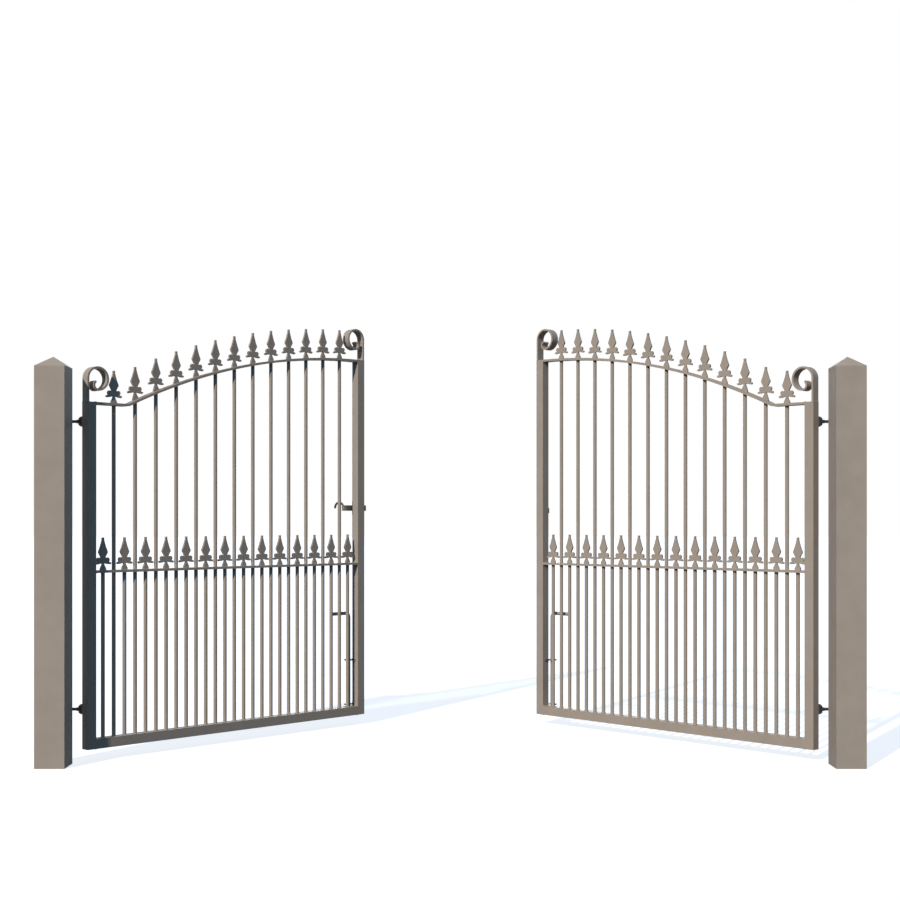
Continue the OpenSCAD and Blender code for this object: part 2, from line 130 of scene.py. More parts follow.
def powder_coat(name):
    material, tree = new_material(name)
    place = add_node(tree, "ShaderNodeTexCoord").outputs["Object"]
    drift = add_node(tree, "ShaderNodeTexNoise", {
        "Vector": place, "Scale": per_mm(TONE_DRIFT_MM), "Detail": DRIFT_DETAIL,
        "Roughness": DRIFT_ROUGHNESS})
    tone = add_node(tree, "ShaderNodeMix", {
        "Factor": drift.outputs["Fac"], "A": linear(COAT_DEEP), "B": linear(COAT_COLOUR)}, data_type="RGBA")
    rounded = add_node(tree, "ShaderNodeBevel", {"Radius": EDGE_RUB_MM * MM}, samples=EDGE_SAMPLES)
    true_normal = add_node(tree, "ShaderNodeNewGeometry").outputs["Normal"]
    facing = add_node(tree, "ShaderNodeVectorMath", {0: rounded.outputs["Normal"], 1: true_normal},
                      operation="DOT_PRODUCT")
    edge = add_node(tree, "ShaderNodeMapRange", {
        "Value": facing.outputs["Value"], "From Min": EDGE_STARTS, "From Max": EDGE_FULL,
        "To Max": EDGE_RUB_SHARE})
    colour = add_node(tree, "ShaderNodeMix", {
        "Factor": edge.outputs["Result"], "A": tone.outputs["Result"], "B": linear(COAT_PALE)},
        data_type="RGBA")
    peel = add_node(tree, "ShaderNodeTexNoise", {
        "Vector": place, "Scale": per_mm(ORANGE_PEEL_MM), "Detail": PEEL_DETAIL})
    bump = add_node(tree, "ShaderNodeBump", {
        "Height": peel.outputs["Fac"], "Strength": PEEL_STRENGTH, "Distance": PEEL_DEPTH_MM * MM})
    satin = add_node(tree, "ShaderNodeMapRange", {
        "Value": drift.outputs["Fac"], "To Min": COAT_ROUGHNESS[0], "To Max": COAT_ROUGHNESS[1]})
    shader = add_node(tree, "ShaderNodeBsdfPrincipled", {
        "Base Color": colour.outputs["Result"], "Roughness": satin.outputs["Result"],
        "IOR": PAINT_IOR, "Specular IOR Level": COAT_SHINE, "Normal": bump.outputs["Normal"]})
    add_node(tree, "ShaderNodeOutputMaterial", {"Surface": shader.outputs["BSDF"]})
    return material


coat = powder_coat("taupe_powder_coat_on_mild_steel")
print("made", coat.name)

# %% [markdown]
# The hinges are bought in as black ironwork: forged or cast, then dipped in a black paint that takes the
# slight waviness of the forging. The eye sees a dark, half-glossy skin with soft unevenness a few
# millimetres across, and a greyer bloom where hands and weather have dulled it.

# %% Black painted ironwork
IRON_COLOUR = "#242325"
IRON_BLOOM = "#353334"
IRON_ROUGHNESS = (0.36, 0.58)
IRON_SHINE = 0.4
BLOOM_MM = 40
BLOOM_DETAIL = 4
FORGE_MM = 7
FORGE_DETAIL = 2
FORGE_DEPTH_MM = 0.6
FORGE_STRENGTH = 0.35


def black_paint(name):
    material, tree = new_material(name)
    place = add_node(tree, "ShaderNodeTexCoord").outputs["Object"]
    bloom = add_node(tree, "ShaderNodeTexNoise", {
        "Vector": place, "Scale": per_mm(BLOOM_MM), "Detail": BLOOM_DETAIL})
    colour = add_node(tree, "ShaderNodeMix", {
        "Factor": bloom.outputs["Fac"], "A": linear(IRON_COLOUR), "B": linear(IRON_BLOOM)},
        data_type="RGBA")
    forging = add_node(tree, "ShaderNodeTexNoise", {
        "Vector": place, "Scale": per_mm(FORGE_MM), "Detail": FORGE_DETAIL})
    bump = add_node(tree, "ShaderNodeBump", {
        "Height": forging.outputs["Fac"], "Strength": FORGE_STRENGTH, "Distance": FORGE_DEPTH_MM * MM})
    dulled = add_node(tree, "ShaderNodeMapRange", {
        "Value": bloom.outputs["Fac"], "To Min": IRON_ROUGHNESS[0], "To Max": IRON_ROUGHNESS[1]})
    shader = add_node(tree, "ShaderNodeBsdfPrincipled", {
        "Base Color": colour.outputs["Result"], "Roughness": dulled.outputs["Result"],
        "IOR": PAINT_IOR, "Specular IOR Level": IRON_SHINE, "Normal": bump.outputs["Normal"]})
    add_node(tree, "ShaderNodeOutputMaterial", {"Surface": shader.outputs["BSDF"]})
    return material


iron = black_paint("black_paint_on_forged_iron")
print("made", iron.name)

# %% [markdown]
# The record says which finish every steel piece has. The pieces stay as they are, and only the material
# in their slots changes.

# %% Paint the steel
FINISHES = {"taupe_powder_coat": coat, "black_ironwork": iron}
slot_of = {row["node"]: row["material_slot"] for row in frame["record"]["subparts"]}

for node, obj in frame["nodes"].items():
    paint = FINISHES[slot_of[node]]
    if not obj.material_slots:
        obj.data.materials.append(paint)
    for material_slot in obj.material_slots:
        material_slot.material = paint
print("painted", len(frame["nodes"]), "pieces")

# %% [markdown]
# Each leaf is easiest to think of in its own frame: along the leaf from the hinge axis, out to the rear,
# and up. The leaves stand open, so that frame is turned. The latch slides along the left leaf, so the
# direction of its joint gives the left leaf's line, and the right leaf is the mirror image. The points of
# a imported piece, seen in that frame, also tell where the bars stand: a gap in them parts one bar from the
# next.

# %% A frame for each leaf
BAR_GAP_MM = 8


def joint_named(name):
    return next(j for j in frame["record"]["behaviour"]["joints"] if j["name"] == name)


along_left = -Vector(joint_named("latch_slide")["axis"]).normalized()
LEAVES = {
    "left": (Vector(joint_named("left_leaf_swing")["pos_m"]), along_left,
             Vector((-along_left.y, along_left.x, 0))),
    "right": (Vector(joint_named("right_leaf_swing")["pos_m"]), Vector((-along_left.x, along_left.y, 0)),
              Vector((along_left.y, along_left.x, 0))),
}


def to_row(side, x, y, z):
    origin, along, rear = LEAVES[side]
    return Vector((origin.x, origin.y, 0)) + along * x + rear * y + Vector((0, 0, z))


def on_leaf(side, node):
    origin, along, rear = LEAVES[side]
    points = np.array([v.co for v in frame["nodes"][node].data.vertices])
    from_axis = points - np.array((origin.x, origin.y, 0))
    return np.column_stack((from_axis @ np.array(along), from_axis @ np.array(rear), points[:, 2]))


def centres_along(side, node):
    x = np.unique(np.round(on_leaf(side, node)[:, 0], 5))
    groups = np.split(x, np.where(np.diff(x) > BAR_GAP_MM * MM)[0] + 1)
    return [(g[0] + g[-1]) / 2 for g in groups]


print("long bars on a leaf:", len(centres_along("left", "left_long_bars")))

# %% [markdown]
# What repeats on the gates is made by Geometry Nodes. There are four trees in this lesson, and they share
# a start and an end: each has named inputs, the last of them its paint, and each ends by making its
# instances real and painting them. The function that grows a piece runs a tree on a source mesh, keeps
# the result as a plain mesh, and says which body the piece rides on and which finish it has.

# %% What all the trees share
NODE_SOCKETS = {"geometry": "NodeSocketGeometry", "size": "NodeSocketFloat", "object": "NodeSocketObject",
                "paint": "NodeSocketMaterial"}


def new_tree(name, inputs):
    tree = bpy.data.node_groups.new(name, "GeometryNodeTree")
    for label, kind in {**inputs, "Paint": "paint"}.items():
        tree.interface.new_socket(label, in_out="INPUT", socket_type=NODE_SOCKETS[kind])
    tree.interface.new_socket("Piece", in_out="OUTPUT", socket_type="NodeSocketGeometry")
    return tree, add_node(tree, "NodeGroupInput").outputs


def make_real(tree, instances):
    return add_node(tree, "GeometryNodeRealizeInstances", {"Geometry": instances}).outputs["Geometry"]


def shade_smooth(tree, metal):
    return add_node(tree, "GeometryNodeSetShadeSmooth", {"Geometry": metal}).outputs["Geometry"]


def paint_and_end(tree, metal, paint):
    painted = add_node(tree, "GeometryNodeSetMaterial", {"Geometry": metal, "Material": paint})
    add_node(tree, "NodeGroupOutput", {"Piece": painted.outputs["Geometry"]})
    print("tree", tree.name, "has", len(tree.nodes), "nodes")
    return tree


def grow(name, source_mesh, tree, sizes, body, finish):
    source = bpy.data.objects.new(name + "_source", source_mesh)
    bpy.context.collection.objects.link(source)
    modifier = source.modifiers.new(tree.name, "NODES")
    modifier.node_group = tree
    sockets = {s.name: s.identifier for s in tree.interface.items_tree if s.in_out == "INPUT"}
    for key, value in sizes.items():
        modifier[sockets[key]] = value
    modifier[sockets["Paint"]] = FINISHES[finish]
    grown = source.evaluated_get(bpy.context.evaluated_depsgraph_get())
    mesh = bpy.data.meshes.new_from_object(grown)
    bpy.data.objects.remove(source)
    piece = bpy.data.objects.new(name, mesh)
    bpy.context.collection.objects.link(piece)
    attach(piece, body)
    print(name, "rides on", body, "with", len(mesh.polygons), "faces")
    return piece


print("kinds of input:", sorted(NODE_SOCKETS))

# %% [markdown]
# Welds hold the gates together: rails to stiles, bars to the bottom rail, finials to the rails, scrolls
# to the stile tops, and the hinge lugs, guides and latch plate to the rear of the stiles. A weld bead is
# a row of overlapping ripples along a seam, so the first tree lays it: the seams come in as bare
# edges, become curves, and a small rounded ripple is set down at every step. The seams themselves are
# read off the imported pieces, so the beads stay where the steel meets.

# %% The tree that lays a weld bead
RIPPLE_PITCH_MM = 3.2
BEAD_RADIUS_MM = 2.4
FINE_PITCH_MM = 2
FINE_BEAD_RADIUS_MM = 1.5
RIPPLE_SIDES = 8
RIPPLE_RINGS = 5


def weld_tree():
    tree, given = new_tree("weld_bead", {"Seams": "geometry", "Ripple pitch": "size", "Bead radius": "size"})
    curve = add_node(tree, "GeometryNodeMeshToCurve", {"Mesh": given["Seams"]})
    steps = add_node(tree, "GeometryNodeCurveToPoints", {
        "Curve": curve.outputs["Curve"], "Length": given["Ripple pitch"]}, mode="LENGTH")
    ripple = add_node(tree, "GeometryNodeMeshUVSphere", {
        "Segments": RIPPLE_SIDES, "Rings": RIPPLE_RINGS, "Radius": given["Bead radius"]})
    laid = add_node(tree, "GeometryNodeInstanceOnPoints", {
        "Points": steps.outputs["Points"], "Instance": ripple.outputs["Mesh"],
        "Rotation": steps.outputs["Rotation"]})
    metal = shade_smooth(tree, make_real(tree, laid.outputs["Instances"]))
    return paint_and_end(tree, metal, given["Paint"])


weld_bead = weld_tree()
BEAD = {"Ripple pitch": RIPPLE_PITCH_MM * MM, "Bead radius": BEAD_RADIUS_MM * MM}
FINE_BEAD = {"Ripple pitch": FINE_PITCH_MM * MM, "Bead radius": FINE_BEAD_RADIUS_MM * MM}

# %% [markdown]
# A seam is a short line of points, open along an edge or closed round a bar. On a leaf the rails are
# welded along the top and bottom of each end, because the front and rear are ground flush before
# coating. Rings go round the bars where they stand on the bottom rail.

# %% Seams on a leaf
RING_POINTS = 20
RIM_MM = 2
NEAR_MM = 0.5


def near(values, target):
    return np.abs(values - target) < NEAR_MM * MM


def ring(x, y, z, radius):
    turns = [2 * math.pi * i / RING_POINTS for i in range(RING_POINTS + 1)]
    return [(x + radius * math.cos(t), y + radius * math.sin(t), z) for t in turns]


def rail_end_seams(points):
    seams = []
    front, rear = points[:, 1].min() + RIM_MM * MM, points[:, 1].max() - RIM_MM * MM
    for end in (points[:, 0].min(), points[:, 0].max()):
        heights = points[near(points[:, 0], end), 2]
        seams += [[(end, front, z), (end, rear, z)] for z in (heights.min(), heights.max())]
    return seams


def foot_seams(points):
    foot = points[near(points[:, 2], points[:, 2].min())]
    front, rear = foot[:, 1].min() + RIM_MM * MM, foot[:, 1].max() - RIM_MM * MM
    z = foot[:, 2].min()
    return [[(x, front, z), (x, rear, z)] for x in (foot[:, 0].min(), foot[:, 0].max())]


def back_seams(points, rear, from_x):
    seat = points[near(points[:, 1], rear)]
    left, right = max(seat[:, 0].min(), from_x) + RIM_MM * MM, seat[:, 0].max() - RIM_MM * MM
    return [[(left, rear, z), (right, rear, z)] for z in (seat[:, 2].min(), seat[:, 2].max())]


def leaf_seams(side):
    part = {n: on_leaf(side, f"{side}_{n}") for n in (
        "bottom_rail", "mid_rail", "top_rail", "hinge_scroll", "meeting_scroll", "meeting_stile",
        "upper_hinge_lugs", "lower_hinge_lugs", "upper_bolt_guide", "lower_bolt_guide",
        "long_bars")}
    catch = on_leaf(side, "latch_housing" if side == "left" else "latch_keep")
    stile = part["meeting_stile"]
    rear, stile_x, middle = stile[:, 1].max(), stile[:, 0].min(), stile[:, 1].mean()
    seams = []
    for name in ("bottom_rail", "mid_rail", "top_rail"):
        seams += rail_end_seams(part[name])
    for name in ("hinge_scroll", "meeting_scroll"):
        seams += foot_seams(part[name])
    for name in ("upper_hinge_lugs", "lower_hinge_lugs"):
        seams += back_seams(part[name], rear, part[name][:, 0].min())
    for name in ("upper_bolt_guide", "lower_bolt_guide"):
        seams += back_seams(part[name], rear, stile_x)
    seams += back_seams(catch, rear, stile_x)
    sill = part["bottom_rail"][:, 2].max()
    bar_radius = (part["long_bars"][:, 1].max() - part["long_bars"][:, 1].min()) / 2
    for x in centres_along(side, f"{side}_long_bars") + centres_along(side, f"{side}_dog_bars"):
        seams.append(ring(x, middle, sill, bar_radius))
    return [[to_row(side, *p) for p in seam] for seam in seams]


def seam_mesh(name, seams):
    points, edges = [], []
    for seam in seams:
        start = len(points)
        points += [tuple(p) for p in seam]
        edges += [(start + i, start + i + 1) for i in range(len(seam) - 1)]
    mesh = bpy.data.meshes.new(name)
    mesh.from_pydata(points, edges, [])
    return mesh


print("seams on the left leaf:", len(leaf_seams("left")))

# %% [markdown]
# Each leaf gets its welds as one piece, which rides on the leaf.

# %% Lay the welds of the leaves
for side in LEAVES:
    grow(f"{side}_leaf_welds", seam_mesh("seams", leaf_seams(side)), weld_bead, BEAD,
         f"{side}_leaf", "taupe_powder_coat")

# %% [markdown]
# The finials are spearheads cut from plate: a blunt tip, a blade, a pair of round lobes over two drooping
# leaves, and a foot that spreads to the rail. Only the right half is drawn, as half widths at heights above
# the rail. The left half is its mirror image, and the closed outline is raised to the plate's thickness
# and given a narrow bevel, as the edges are dressed before coating.

# %% One spearhead
PLATE_MM = 9
PLATE_EDGE_MM = 0.8
BEVEL_STEPS = 2
FOOT_SINK_MM = 0.5
FOOT_HALF_MM = 12.5
FOOT_HIGH_MM = 24.5
FOOT_REST_MM = 9
LOBE_OUT_MM, LOBE_UP_MM, LOBE_RADIUS_MM = 20.2, 42, 9.5
LOBE_FROM_DEG, LOBE_TO_DEG, LOBE_STEPS = 135, -45, 12
TIP_AND_BLADE_MM = [(4.5, 132), (4.5, 122), (8.5, 108), (14, 91), (21, 74.5), (21, 71.5), (11, 54), (11, 49)]
LEAF_MM = [(28, 33), (33, 32), (36.5, 29.5), (36.8, 25.5), (33, 23), (22, 24), (11, 26.5), (4.5, 27)]
FOOT_MM = [(4.5, FOOT_HIGH_MM), (6.5, 19.5), (10, 13), (13, 7.5), (13.5, 4), (FOOT_HALF_MM, -FOOT_SINK_MM)]


def cut_plate(name, corners, thickness, edge):
    plate = bmesh.new()
    face = plate.faces.new([plate.verts.new(corner) for corner in corners])
    raised = bmesh.ops.extrude_face_region(plate, geom=[face])["geom"]
    far_side = [v for v in raised if isinstance(v, bmesh.types.BMVert)]
    bmesh.ops.translate(plate, verts=far_side, vec=thickness)
    rims = [e for e in plate.edges if near((e.verts[0].co - e.verts[1].co).dot(thickness.normalized()), 0)]
    bmesh.ops.bevel(plate, geom=rims, offset=edge, segments=BEVEL_STEPS, affect="EDGES")
    bmesh.ops.recalc_face_normals(plate, faces=plate.faces)
    if plate.calc_volume(signed=True) < 0:
        bmesh.ops.reverse_faces(plate, faces=plate.faces)
    mesh = bpy.data.meshes.new(name)
    plate.to_mesh(mesh)
    plate.free()
    return mesh


def spearhead():
    sweep = (LOBE_TO_DEG - LOBE_FROM_DEG) / LOBE_STEPS
    turns = [math.radians(LOBE_FROM_DEG + sweep * i) for i in range(LOBE_STEPS + 1)]
    lobe = [(LOBE_OUT_MM + LOBE_RADIUS_MM * math.cos(t), LOBE_UP_MM + LOBE_RADIUS_MM * math.sin(t))
            for t in turns]
    right = TIP_AND_BLADE_MM + lobe + LEAF_MM + FOOT_MM
    outline = right + [(-x, z) for x, z in reversed(right)]
    front = [Vector((x * MM, -PLATE_MM * MM / 2, z * MM)) for x, z in outline]
    mesh = cut_plate("spearhead", front, Vector((0, PLATE_MM * MM, 0)), PLATE_EDGE_MM * MM)
    return bpy.data.objects.new("spearhead", mesh)


one_spearhead = spearhead()
bpy.context.collection.objects.link(one_spearhead)
print("a spearhead has", len(one_spearhead.data.polygons), "faces")

# %% [markdown]
# The second tree sets a spearhead over every bar. On the bow the rail slopes, so each seat carries the
# slope of the rail, and the tree shears the foot to it: the sole follows the rail in full, the neck not at
# all, so the blade still stands upright. A foot on a slope rests uphill of its middle, so there the blade
# stands a little higher.


# %% The tree that sets a row of spearheads
def row_tree():
    tree, given = new_tree("row_of_spearheads", {
        "Seats": "geometry", "Spearhead": "object", "Turn": "size", "Foot height": "size", "Rest": "size"})
    one = add_node(tree, "GeometryNodeObjectInfo", {"Object": given["Spearhead"]})
    drawn = add_node(tree, "GeometryNodeInputPosition")
    noted = add_node(tree, "GeometryNodeStoreNamedAttribute", {
        "Geometry": one.outputs["Geometry"], "Name": "drawn_at", "Value": drawn.outputs["Position"]},
        data_type="FLOAT_VECTOR", domain="POINT")
    turn = add_node(tree, "ShaderNodeCombineXYZ", {"Z": given["Turn"]})
    row = add_node(tree, "GeometryNodeInstanceOnPoints", {
        "Points": given["Seats"], "Instance": noted.outputs["Geometry"], "Rotation": turn.outputs["Vector"]})
    metal = make_real(tree, row.outputs["Instances"])
    slope = add_node(tree, "GeometryNodeInputNamedAttribute", {"Name": "slope"}, data_type="FLOAT")
    kept = add_node(tree, "GeometryNodeInputNamedAttribute", {"Name": "drawn_at"}, data_type="FLOAT_VECTOR")
    local = add_node(tree, "ShaderNodeSeparateXYZ", {"Vector": kept.outputs["Attribute"]})
    share = add_node(tree, "ShaderNodeMapRange", {
        "Value": local.outputs["Z"], "From Max": given["Foot height"], "To Min": 1.0, "To Max": 0.0})
    rise = add_node(tree, "ShaderNodeMath", {0: slope.outputs["Attribute"], 1: local.outputs["X"]},
                    operation="MULTIPLY")
    steep = add_node(tree, "ShaderNodeMath", {0: slope.outputs["Attribute"]}, operation="ABSOLUTE")
    rest = add_node(tree, "ShaderNodeMath", {0: steep.outputs[0], 1: given["Rest"]}, operation="MULTIPLY")
    shear = add_node(tree, "ShaderNodeMix", {
        "Factor": share.outputs["Result"], "A": rest.outputs[0], "B": rise.outputs[0]}, data_type="FLOAT")
    lift = add_node(tree, "ShaderNodeCombineXYZ", {"Z": shear.outputs["Result"]})
    seated = add_node(tree, "GeometryNodeSetPosition", {
        "Geometry": metal, "Offset": lift.outputs["Vector"]})
    return paint_and_end(tree, seated.outputs["Geometry"], given["Paint"])


row_of_spearheads = row_tree()

# %% [markdown]
# The seats are read off the rails. The front edge of a rail is a chain of short lines, and the highest of
# them over a bar is where that spearhead stands. The heights at the two ends of its foot give the slope.
# The seam round a sole is the outline of the foot, laid on the same slope.


# %% Seats on the rails
def front_edges(side, node):
    points = on_leaf(side, node)
    edges = np.array([e.vertices[:] for e in frame["nodes"][node].data.edges])
    in_front = near(points[:, 1], points[:, 1].min())
    edges = edges[in_front[edges].all(axis=1)]
    starts, ends = points[edges[:, 0]], points[edges[:, 1]]
    upright = near(starts[:, 0], ends[:, 0])
    return starts[~upright], ends[~upright]


def top_at(x, starts, ends):
    share = (x - starts[:, 0]) / (ends[:, 0] - starts[:, 0])
    heights = starts[:, 2] + share * (ends[:, 2] - starts[:, 2])
    return float(heights[(share >= 0) & (share <= 1)].max())


def seats_on(side, rail, bars):
    starts, ends = front_edges(side, rail)
    half = FOOT_HALF_MM * MM
    seats = []
    for x in centres_along(side, bars):
        low, seat, high = (top_at(x + d, starts, ends) for d in (-half, 0, half))
        seats.append((x, seat, (high - low) / (2 * half)))
    return seats


def seat_mesh(side, middle, seats):
    mesh = bpy.data.meshes.new("seats")
    mesh.from_pydata([tuple(to_row(side, x, middle, z)) for x, z, slope in seats], [], [])
    mesh.attributes.new("slope", "FLOAT", "POINT")
    for i, (x, z, slope) in enumerate(seats):
        mesh.attributes["slope"].data[i].value = slope
    return mesh


def sole_seam(side, middle, seat):
    x, z, slope = seat
    half, out = FOOT_HALF_MM * MM, PLATE_MM * MM / 2
    corners = [(-half, -out), (half, -out), (half, out), (-half, out), (-half, -out)]
    return [to_row(side, x + dx, middle + dy, z + slope * dx) for dx, dy in corners]


print("seats on the left bow:", len(seats_on("left", "left_top_rail", "left_long_bars")))

# %% [markdown]
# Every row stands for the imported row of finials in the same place, and a fine bead runs round the soles.

# %% Set the spearheads
for side in LEAVES:
    along = LEAVES[side][1]
    middle = on_leaf(side, f"{side}_meeting_stile")[:, 1].mean()
    soles = []
    for row, rail, bars in (("top", "top_rail", "long_bars"), ("dog", "mid_rail", "dog_bars")):
        seats = seats_on(side, f"{side}_{rail}", f"{side}_{bars}")
        shape = {"Spearhead": one_spearhead, "Turn": math.atan2(along.y, along.x),
                 "Foot height": FOOT_HIGH_MM * MM, "Rest": FOOT_REST_MM * MM}
        spears = grow(f"{side}_{row}_spearheads", seat_mesh(side, middle, seats), row_of_spearheads, shape,
                      f"{side}_leaf", "taupe_powder_coat")
        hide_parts(f"{side}_{row}_finials")
        soles += [sole_seam(side, middle, seat) for seat in seats]
    grow(f"{side}_finial_welds", seam_mesh("soles", soles), weld_bead, FINE_BEAD,
         f"{side}_leaf", "taupe_powder_coat")
bpy.data.objects.remove(one_spearhead)

# %% [markdown]
# Each hinge eye sits on a threaded stud, in a bracket plate that is welded to the rear face of its post.
# One bead runs down each side of the plate where it meets the post. The edges of the plate are read off
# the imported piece: they are its points that lie on the post's rear face.


# %% Welds on the hinge brackets
HINGES = [(side, level) for side in LEAVES for level in ("upper", "lower")]


def eye_points(side, level):
    return np.array([v.co for v in frame["nodes"][f"{side}_{level}_hinge_eye"].data.vertices])


def bracket_seams(side, level):
    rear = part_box(f"{side}_post")[1][1]
    points = eye_points(side, level)
    foot = points[near(points[:, 1], rear)]
    low, high = foot.min(axis=0), foot.max(axis=0)
    return [[(x, rear, low[2] + RIM_MM * MM), (x, rear, high[2] - RIM_MM * MM)] for x in (low[0], high[0])]


bracket_lines = [seam for hinge in HINGES for seam in bracket_seams(*hinge)]
grow("bracket_welds", seam_mesh("seams", bracket_lines), weld_bead, BEAD, "posts", "black_ironwork")

# %% [markdown]
# Two nuts, one on each side of the bracket, clamp the stud and let the gate be set true when it is hung.
# A nut is a six-sided prism whose corners are turned off on a lathe, so the third tree makes it in the same
# two steps: a cylinder with six sides, and a wide flattened ball that trims its corners in a Boolean.
# Each nut is set down on a point that lies on the stud's axis, against the face of the plate.

# %% The tree that makes hexagon nuts
NUT_SIDES = 6
NUT_FLATS_MM = 19
NUT_HEIGHT_MM = 10
TRIM_WIDE = 1.16
TRIM_TALL = 0.77
TRIM_SIDES = 32
TRIM_RINGS = 16


def nut_tree():
    tree, given = new_tree("hexagon_nut", {"Places": "geometry", "Corner radius": "size", "Height": "size"})
    prism = add_node(tree, "GeometryNodeMeshCylinder", {
        "Vertices": NUT_SIDES, "Radius": given["Corner radius"], "Depth": given["Height"]})
    wide = add_node(tree, "ShaderNodeMath", {0: given["Corner radius"], 1: TRIM_WIDE}, operation="MULTIPLY")
    tall = add_node(tree, "ShaderNodeMath", {0: given["Height"], 1: TRIM_TALL}, operation="MULTIPLY")
    ball = add_node(tree, "GeometryNodeMeshUVSphere", {
        "Segments": TRIM_SIDES, "Rings": TRIM_RINGS, "Radius": 1.0})
    shape = add_node(tree, "ShaderNodeCombineXYZ", {
        "X": wide.outputs[0], "Y": wide.outputs[0], "Z": tall.outputs[0]})
    trim = add_node(tree, "GeometryNodeTransform", {
        "Geometry": ball.outputs["Mesh"], "Scale": shape.outputs["Vector"]})
    nut = add_node(tree, "GeometryNodeMeshBoolean", operation="INTERSECT")
    tree.links.new(prism.outputs["Mesh"], nut.inputs["Mesh 2"])
    tree.links.new(trim.outputs["Geometry"], nut.inputs["Mesh 2"])
    along = add_node(tree, "FunctionNodeAlignRotationToVector", {"Vector": (1.0, 0.0, 0.0)}, axis="Z")
    set_down = add_node(tree, "GeometryNodeInstanceOnPoints", {
        "Points": given["Places"], "Instance": nut.outputs["Mesh"], "Rotation": along.outputs["Rotation"]})
    return paint_and_end(tree, make_real(tree, set_down.outputs["Instances"]), given["Paint"])


def nut_places(side, level):
    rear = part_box(f"{side}_post")[1][1]
    points = eye_points(side, level)
    plate = points[near(points[:, 1], rear)][:, 0]
    axis_y = joint_named(f"{side}_leaf_swing")["pos_m"][1]
    z = (points[:, 2].min() + points[:, 2].max()) / 2
    half = NUT_HEIGHT_MM * MM / 2
    return [(plate.min() - half, axis_y, z), (plate.max() + half, axis_y, z)]


places = [place for hinge in HINGES for place in nut_places(*hinge)]
NUT = {"Corner radius": NUT_FLATS_MM * MM / math.sqrt(3), "Height": NUT_HEIGHT_MM * MM}
grow("hinge_nuts", seam_mesh("places", [[place] for place in places]), nut_tree(), NUT,
     "posts", "black_ironwork")

# %% [markdown]
# Pins and rods are cut from bar and their ends are dressed on a grinder, so none of them ends in a sharp
# flat disc. The last tree sets a shallow dome on every such end: each end is one point that carries the
# direction it faces and its radius, and half of the dome sinks into the rod.

# %% The tree that domes a rod's end
DOME_SHARE = 0.42
DOME_SIDES = 24
DOME_RINGS = 12


def dome_tree():
    tree, given = new_tree("domed_end", {"Ends": "geometry", "Dome share": "size"})
    facing = add_node(tree, "GeometryNodeInputNamedAttribute", {"Name": "facing"},
                      data_type="FLOAT_VECTOR")
    radius = add_node(tree, "GeometryNodeInputNamedAttribute", {"Name": "radius"}, data_type="FLOAT")
    turn = add_node(tree, "FunctionNodeAlignRotationToVector", {"Vector": facing.outputs["Attribute"]},
                    axis="Z")
    ball = add_node(tree, "GeometryNodeMeshUVSphere", {
        "Segments": DOME_SIDES, "Rings": DOME_RINGS, "Radius": 1.0})
    flat = add_node(tree, "ShaderNodeCombineXYZ", {"X": 1.0, "Y": 1.0, "Z": given["Dome share"]})
    dome = add_node(tree, "GeometryNodeTransform", {
        "Geometry": ball.outputs["Mesh"], "Scale": flat.outputs["Vector"]})
    set_down = add_node(tree, "GeometryNodeInstanceOnPoints", {
        "Points": given["Ends"], "Instance": dome.outputs["Geometry"],
        "Rotation": turn.outputs["Rotation"], "Scale": radius.outputs["Attribute"]})
    metal = shade_smooth(tree, make_real(tree, set_down.outputs["Instances"]))
    return paint_and_end(tree, metal, given["Paint"])


def end_mesh(ends):
    mesh = bpy.data.meshes.new("ends")
    mesh.from_pydata([tuple(place) for place, facing, radius in ends], [], [])
    mesh.attributes.new("facing", "FLOAT_VECTOR", "POINT")
    mesh.attributes.new("radius", "FLOAT", "POINT")
    for i, (place, direction, size) in enumerate(ends):
        mesh.attributes["facing"].data[i].vector = direction
        mesh.attributes["radius"].data[i].value = size
    return mesh


domed_end = dome_tree()
DOME = {"Dome share": DOME_SHARE}

# %% [markdown]
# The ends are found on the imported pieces: the pins stand out above and below their lugs on the hinge
# axis, each drop bolt ends in its tip and in its bent handle, and the latch's handle is a rod curled
# over, whose free end looks down.


# %% Domes on the pins, drop bolts and latch handle
HOOK_ROD_MM = 12


def end_on(side, node, axis, sign):
    points = on_leaf(side, node)
    reach = points[:, axis].max() if sign > 0 else points[:, axis].min()
    face = points[near(points[:, axis], reach)]
    middle = (face.min(axis=0) + face.max(axis=0)) / 2
    across = [a for a in range(3) if a != axis]
    radius = max(face[:, a].max() - face[:, a].min() for a in across) / 2
    direction = [0, 0, 0]
    direction[axis] = sign
    return to_row(side, *middle), to_row(side, *direction) - to_row(side, 0, 0, 0), radius


def hook_end():
    points = on_leaf("left", "latch_bolt")
    rod = points[near(points[:, 0], points[:, 0].min()), 2].min()
    face = points[near(points[:, 2], rod)]
    face = face[face[:, 0] < face[:, 0].min() + HOOK_ROD_MM * MM]
    middle = (face.min(axis=0) + face.max(axis=0)) / 2
    return to_row("left", *middle), Vector((0, 0, -1)), (face[:, 1].max() - face[:, 1].min()) / 2


for side in LEAVES:
    pins = [end_on(side, f"{side}_{level}_hinge_lugs", 2, sign)
            for level in ("upper", "lower") for sign in (-1, 1)]
    rod = [end_on(side, f"{side}_drop_bolt", 0, -1), end_on(side, f"{side}_drop_bolt", 2, -1)]
    grow(f"{side}_pin_domes", end_mesh(pins), domed_end, DOME, f"{side}_leaf", "black_ironwork")
    grow(f"{side}_bolt_domes", end_mesh(rod), domed_end, DOME, f"{side}_drop_bolt", "taupe_powder_coat")
grow("latch_handle_dome", end_mesh([hook_end()]), domed_end, DOME, "latch_bolt", "taupe_powder_coat")

